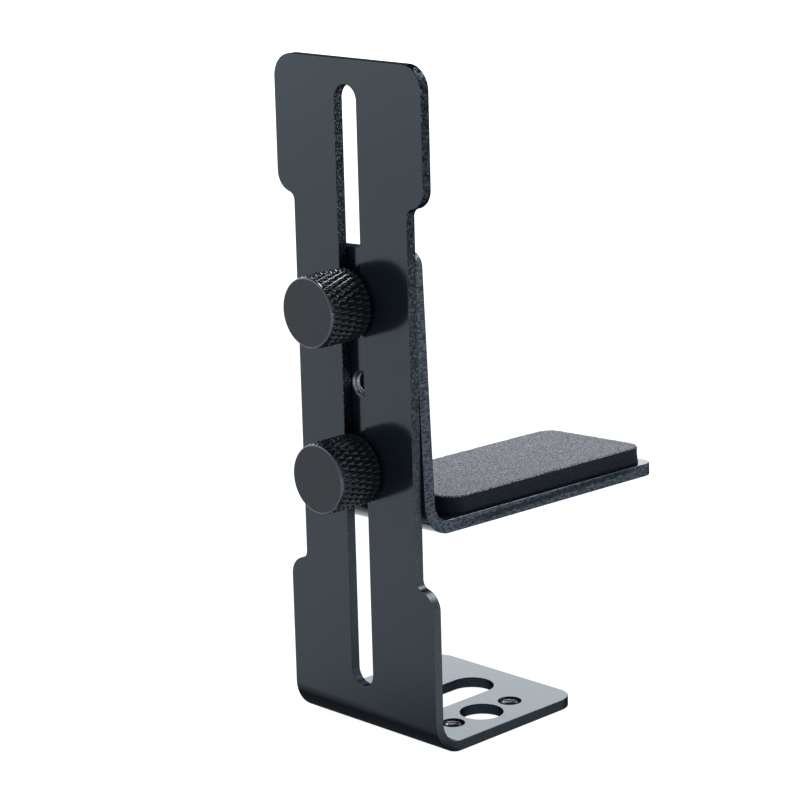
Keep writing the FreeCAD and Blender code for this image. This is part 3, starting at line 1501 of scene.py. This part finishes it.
@dataclass
class Thumbscrew:
    """Knurled head and threaded shank, turned from one bar.

    Its own frame has the axis along +Y, with the head in front of y = 0 on a
    low collar. The face has a two-step bevel, whose first step takes up the
    share bevel_cut, and a low land behind it before the knurl begins.
    """

    head_radius: float = 5.4
    head_height: float = 8.2
    collar_radius: float = 4.4
    collar_height: float = 0.3
    chamfer: float = 0.25
    knurl_depth: float = 0.36
    knurl_points: int = 36
    knurl_rows: int = 5
    parts: int = 6
    parts_along: int = 10
    flat_tip: float = 0.94
    cross_cut: float = 1.2
    land: float = 0.16
    face_round: float = 0.23
    face_radius: float = 5.17
    lead_slope: float = 0.5
    face_middle: float = 0.3
    bevel_cut: float = 0.3
    land_shown: float = 0.6
    under_cut: float = 0.25
    shank_radius: float = 1.7
    reach: float = 6.0
    overlap: float = 0.5
    tip: float = 0.45
    pitch: float = 25.4 / 32
    thread_fullness: float = 0.5
    steepness: float = 1.3
    shank_around: int = 72
    per_pitch: int = 10

    @property
    def places(self) -> int:
        """Points on each ring of the head."""
        return 2 * self.knurl_points * self.parts

    def knurl(self, place: float, row: float) -> float:
        """Height of the diamond knurl, from 0 in a groove to 1 on a point.

        Args:
            place: steps round the head, two to a point.
            row: rows along the head.

        Returns:
            The height.
        """
        rising, falling = ((place + row) / 2) % 1.0, ((place - row) / 2) % 1.0
        slope = min(self.cross_cut * (1 - abs(2 * rising - 1)), 1 - abs(2 * falling - 1))
        return min(slope / self.flat_tip, 1.0)

    def head_row(self, skin: Skin, row: float) -> list[int]:
        """Adds one ring of the knurled band.

        Args:
            skin: the screw's skin.
            row: rows along the head.

        Returns:
            The points' numbers.
        """
        start = self.face_round + self.land
        band = self.head_height - self.collar_height - self.chamfer - start
        from_start = band * row / self.knurl_rows
        y = -self.head_height + start + from_start
        lead = self.face_radius + self.lead_slope * from_start
        numbers = []
        for step in range(self.places):
            radius = self.head_radius - self.knurl_depth * (1 - self.knurl(step / self.parts, row))
            numbers.append(skin.point(on_circle(min(radius, lead), TURN * step / self.places, y)))
        return numbers

    def ring(self, skin: Skin, radius: float, y: float, normal: Pair) -> list[int]:
        """Adds a plain ring, with as many points as the knurled ones.

        Args:
            skin: the screw's skin.
            radius: its radius.
            y: its place along the axis.
            normal: its shading direction, outwards and along the axis.

        Returns:
            The points' numbers.
        """
        numbers = []
        for step in range(self.places):
            angle = TURN * step / self.places
            numbers.append(skin.point(on_circle(radius, angle, y), on_circle(normal[0], angle, normal[1])))
        return numbers

    def head(self, skin: Skin) -> None:
        """Builds the head: its face, bevel, knurl, underside and collar.

        Args:
            skin: the screw's skin.
        """
        rim = self.head_radius - self.knurl_depth - self.chamfer * self.under_cut
        edge, bevel, top = self.face_radius, self.face_round, -self.head_height
        cut = bevel * self.bevel_cut
        front = [
            self.ring(skin, self.face_middle, top, (0.0, -1.0)),
            self.ring(skin, edge - bevel, top, (0.0, -1.0)),
            self.ring(skin, edge - cut, top + cut, (0.7, -0.7)),
            self.ring(skin, edge, top + bevel, (1.0, 0.0)),
            self.ring(skin, edge, top + bevel + self.land * self.land_shown, (1.0, 0.0)),
        ]
        knurled = [self.head_row(skin, step / self.parts_along)
                   for step in range(self.knurl_rows * self.parts_along + 1)]
        under = -self.collar_height
        back = [
            self.ring(skin, rim, under, (0.5, 0.85)),
            self.ring(skin, self.collar_radius, under, (0.0, 1.0)),
            self.ring(skin, self.collar_radius, under, (1.0, 0.0)),
            self.ring(skin, self.collar_radius, 0.0, (1.0, 0.0)),
            self.ring(skin, self.collar_radius, 0.0, (0.0, 1.0)),
            self.ring(skin, self.shank_radius, 0.0, (0.0, 1.0)),
        ]
        skin.cap(front[0], Vector((0, top, 0)), Turned.FACE.value)
        for number, (near, far) in enumerate(zip(front, front[1:])):
            skin.band(near, far, (Turned.RIM if number else Turned.FACE).value)
        rows = [front[-1], *knurled, back[0]]
        for near, far in zip(rows, rows[1:]):
            skin.band(near, far, Turned.KNURL.value)
        for near, far in zip(back[::2], back[1::2]):
            skin.band(near, far, Turned.FACE.value)
        skin.cap(back[-1], Vector(), Turned.FACE.value)

    def shank(self, skin: Skin) -> None:
        """Builds the threaded shank, which runs up into the head.

        Args:
            skin: the screw's skin.
        """
        length = self.reach + self.overlap
        steps = math.ceil(length / self.pitch * self.per_pitch)
        coat = Turned.THREAD.value
        last: list[int] = []
        for step in range(steps + 1):
            y = self.reach - length * step / steps
            tip = self.shank_radius - self.tip + (self.reach - y)
            row = []
            for place in range(self.shank_around):
                angle = place / self.shank_around
                crest = min(1.0, self.steepness * (1 - abs(2 * ((y / self.pitch + angle) % 1.0) - 1)))
                radius = min(self.shank_radius - self.thread_fullness * self.pitch * (1 - crest), tip)
                row.append(skin.point(on_circle(radius, TURN * angle, y)))
            if last:
                skin.band(last, row, coat)
            else:
                skin.cap(row, Vector((0, y, 0)), coat)
            last = row
        skin.cap(last, Vector((0, self.reach - length, 0)), coat)

    def build(self, name: str, node: str, seat: Vector, spin: float,
              finishes: dict[str, bpy.types.Material]) -> list[bpy.types.Object]:
        """Makes the screw.

        Args:
            name: the piece's name.
            node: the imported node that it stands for.
            seat: the middle of the head's underside.
            spin: how far it is turned, in degrees.
            finishes: materials by name.

        Returns:
            The screw.
        """
        skin = Skin()
        self.head(skin)
        self.shank(skin)
        move = Matrix.Translation(seat) @ Matrix.Rotation(math.radians(spin), 4, "Y")
        coats = [finishes[finish] for finish in ("knurl", "turned", "thread_black", "rim")]
        made = skin.build(name, coats, move)
        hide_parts(node)
        return [made]


# Studio


@dataclass(frozen=True)
class Softbox:
    """A rectangular studio light that points at the bracket, in metres and watts."""

    name: str
    place: Place
    size: Pair
    power: float
    colour: Colour = (1.0, 1.0, 1.0)
    aim: Place = (0.0, 0.0, 0.04)

    def build(self) -> None:
        """Makes the light."""
        light = bpy.data.lights.new(self.name, "AREA")
        light.shape = "RECTANGLE"
        light.size, light.size_y = self.size
        light.energy = self.power
        light.color = self.colour
        lamp = add_object(self.name, light)
        lamp.location = self.place
        lamp.rotation_mode = "QUATERNION"
        lamp.rotation_quaternion = (Vector(self.aim) - Vector(self.place)).to_track_quat("-Z", "Y")
        lamp.visible_camera = False


@dataclass
class Studio:
    """Camera, floor, surrounding light and softboxes.

    Places, nearest and floor_half are in metres, camera_turn is in degrees, and
    the lens and the sensor's width are in millimetres.
    """

    camera_place: Place = (0.2840, -0.2869, 0.1514)
    camera_turn: Place = (75.748, 1.497, 45.200)
    lens: float = 124.19
    sensor: float = 36.0
    nearest: float = 0.01
    floor_half: float = 6.0
    shade_near: Place = (-0.095, -0.115, 0.0001)
    shade_far: Place = (0.06, -0.0127, 0.0001)
    surround: Colour = (0.93, 0.96, 1.0)
    strength: float = 0.75
    lights: tuple[Softbox, ...] = (
        Softbox("top_softbox", (0.04, 0.45, 0.55), (0.75, 0.18), 5.6),
        Softbox("front_left_softbox", (-0.33, -0.34, 0.27), (0.5, 0.30), 1.05, (0.90, 0.95, 1.0)),
        Softbox("back_left_softbox", (-0.75, 0.70, 0.45), (1.3, 0.50), 4.5, (0.90, 0.95, 1.0)),
    )

    def build(self, finishes: dict[str, bpy.types.Material]) -> None:
        """Makes the studio.

        Args:
            finishes: materials by name.
        """
        scene = bpy.context.scene
        camera = bpy.data.cameras.new("camera")
        camera.lens = self.lens
        camera.sensor_width = self.sensor
        camera.clip_start = self.nearest
        scene.camera = add_object("camera", camera)
        scene.camera.location = self.camera_place
        scene.camera.rotation_euler = Euler([math.radians(angle) for angle in self.camera_turn], "XYZ")

        half = self.floor_half
        floor = flat_square("floor", (-half, -half, 0), (half, half, 0), finishes["floor"])
        floor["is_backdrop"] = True
        self.shade(finishes["floor_shade"])
        world = bpy.data.worlds.new("surround")
        world.use_nodes = True
        graph = Graph(world.node_tree)
        light = graph.value("ShaderNodeBackground", 0, None,
                            {"Color": (*self.surround, 1.0), "Strength": self.strength})
        graph.node("ShaderNodeOutputWorld", None, {"Surface": light})
        scene.world = world
        scene.view_settings.view_transform = "Standard"
        for softbox in self.lights:
            softbox.build()

    def shade(self, finish: bpy.types.Material) -> None:
        """Lays a sheet on the floor in front of the bend, which only mirror images show.

        Args:
            finish: its material.
        """
        sheet = flat_square("floor_shade", self.shade_near, self.shade_far, finish)
        sheet.visible_camera = sheet.visible_diffuse = False
        sheet.visible_shadow = sheet.visible_transmission = False
        sheet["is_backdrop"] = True


def finish_set() -> dict[str, bpy.types.Material]:
    """Makes all materials.

    Returns:
        The materials, by the names that the pieces use.
    """
    return {
        "coat": SatinCoat().material(),
        "upright_edge": CutEdge("coated_upright_edge", (0.008, 0.011, 0.015), (0.076, 0.090, 0.102),
                                (0.15, 0.17, 0.19), 0.40, (1, 1, 0.9), 0.025, (0.46, 0.74), (0.58, 0.68),
                                0.28, calm=0.9, share=0.85, foot_share=0.36, crest_share=0.55).material(),
        "slot_edge": CutEdge("coated_slot_edge", (0.008, 0.010, 0.015), (0.064, 0.078, 0.096),
                             (0.22, 0.23, 0.26), 0.36, (1, 1, 1), 0.03, (0.50, 0.72), (0.57, 0.66),
                             calm=0.9).material(),
        # Walls of the foot's holes and the dark parts of the threads: the coat in a far darker copy, painted
        # shade inside the holes.
        "hole_coat_and_shade": CutEdge("coated_hole_painted_shade", (0.014, 0.020, 0.028), (0.020, 0.028, 0.038),
                             (0.03, 0.04, 0.05), 0.40, (1, 1, 1), 0.01).material(),
        # The arm's edge carries the painted shade band under the foam pad.
        "arm_edge": CutEdge("coated_arm_edge", (0.027, 0.033, 0.041), (0.082, 0.099, 0.120),
                            (0.12, 0.15, 0.18), 0.34, (1, 0.45, 1.3), 0.04, shade_under_foam=PaintedShadeUnderFoam()).material(),
        "foam": Foam("split_foam", (0.003, 0.003, 0.005), (0.145, 0.150, 0.175), 0.30, fuzz=0.12).material(),
        # The pad's sides: a far darker copy of the foam that paints their shade.
        "foam_side": Foam("foam_side_painted_shade", (0.003, 0.005, 0.007), (0.009, 0.013, 0.018), gloss=0.15, fuzz=0.0,
                          depth=0.03).material(),
        "turned": Anodised("turned_anodised").material(),
        "knurl": Anodised("knurled_anodised", roughness=0.13, gloss=0.42).material(),
        "rim": Anodised("polished_rim", roughness=0.08, gloss=1.0).material(),
        "thread_black": Anodised("threaded_anodised", roughness=0.32).material(),
        "thread": BareThread().material(),
        # A darker copy of the bare steel, painted shade inside the arm's hole.
        "thread_in_painted_shade": BareThread("thread_in_painted_shade", (0.30, 0.31, 0.33), 0.24).material(),
        "floor": PaleFloor().material(),
        "floor_shade": FloorShade().material(),
    }


def ride(pieces: Sequence[bpy.types.Object], body: Body) -> None:
    """Lets pieces move with a body, and reports each.

    Args:
        pieces: the pieces.
        body: the body.
    """
    for piece in pieces:
        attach(piece, body.value)
        LOG.info("%s rides on %s: %d faces", piece.name, body.value, len(piece.data.polygons))


def main() -> None:
    logging.basicConfig(level=logging.INFO, format="%(name)s: %(message)s")
    finishes = finish_set()
    seat = Seat.from_joints(frame["joints"])
    upright = Upright(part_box("upright_bracket")[0].y / MM)
    arm = Arm(seat, upright.front_y + upright.sheet.thickness + SLIDE_GAP)
    ride(upright.build(finishes), Body.UPRIGHT)
    ride(arm.build(finishes), Body.ARM)
    ride(Pad(arm).build(finishes), Body.ARM)
    screw = Thumbscrew()
    upper = screw.build("upper_screw_dressed", "upper_thumbscrew", seat.upper, 0.0, finishes)
    lower = screw.build("lower_screw_dressed", "lower_thumbscrew", seat.lower, LOWER_SPIN, finishes)
    ride(upper, Body.UPPER_SCREW)
    ride(lower, Body.LOWER_SCREW)
    Studio().build(finishes)
    [[list(corner) for corner in box] for box in (CAD_BOX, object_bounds())]


if __name__ == "__main__":
    main()
